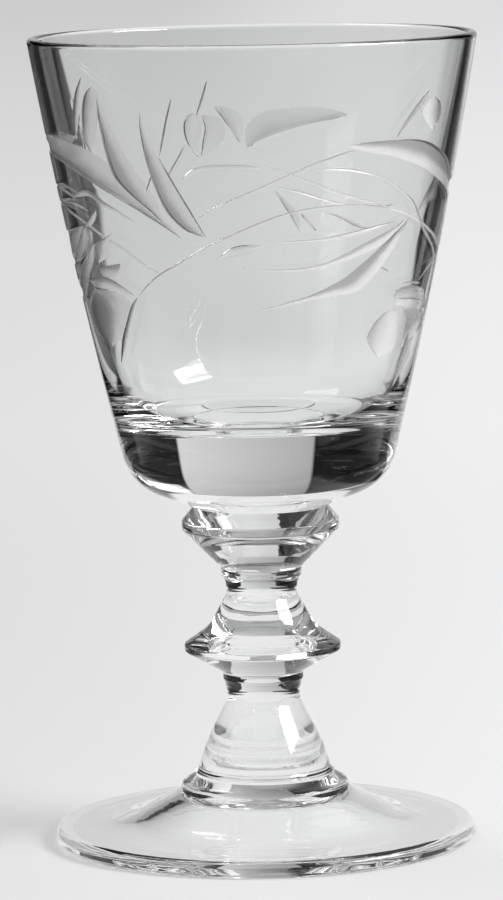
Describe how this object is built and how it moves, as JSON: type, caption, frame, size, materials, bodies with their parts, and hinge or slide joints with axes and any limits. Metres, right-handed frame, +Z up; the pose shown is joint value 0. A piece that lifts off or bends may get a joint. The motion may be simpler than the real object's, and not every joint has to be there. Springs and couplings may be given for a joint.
{
  "type": "cordial glass",
  "caption": "Small stemmed cordial glass with a flaring heavy-based bowl, a knopped stem over a bell and wafer, and a wide round foot.",
  "frame": {"origin": "middle of the circle that the foot stands on, at table height", "axes": "+Z up along the glass's axis, towards the lip; +Y away from the side that the picture shows"},
  "size_m": [0.0496, 0.0496, 0.09],
  "materials": {
    "bowl_glass": "clear, fire polished at the lip, with grey wheel-cut leaves",
    "stem_glass": "clear, tooled, with fine turning rings",
    "foot_glass": "clear, tooled, with a polished spot underneath"
  },
  "bodies": {
    "root": {"bowl": "bowl_glass", "upper_knop": "stem_glass", "lower_knop": "stem_glass", "bell": "stem_glass", "wafer": "stem_glass", "foot": "foot_glass"}
  },
  "joints": []
}
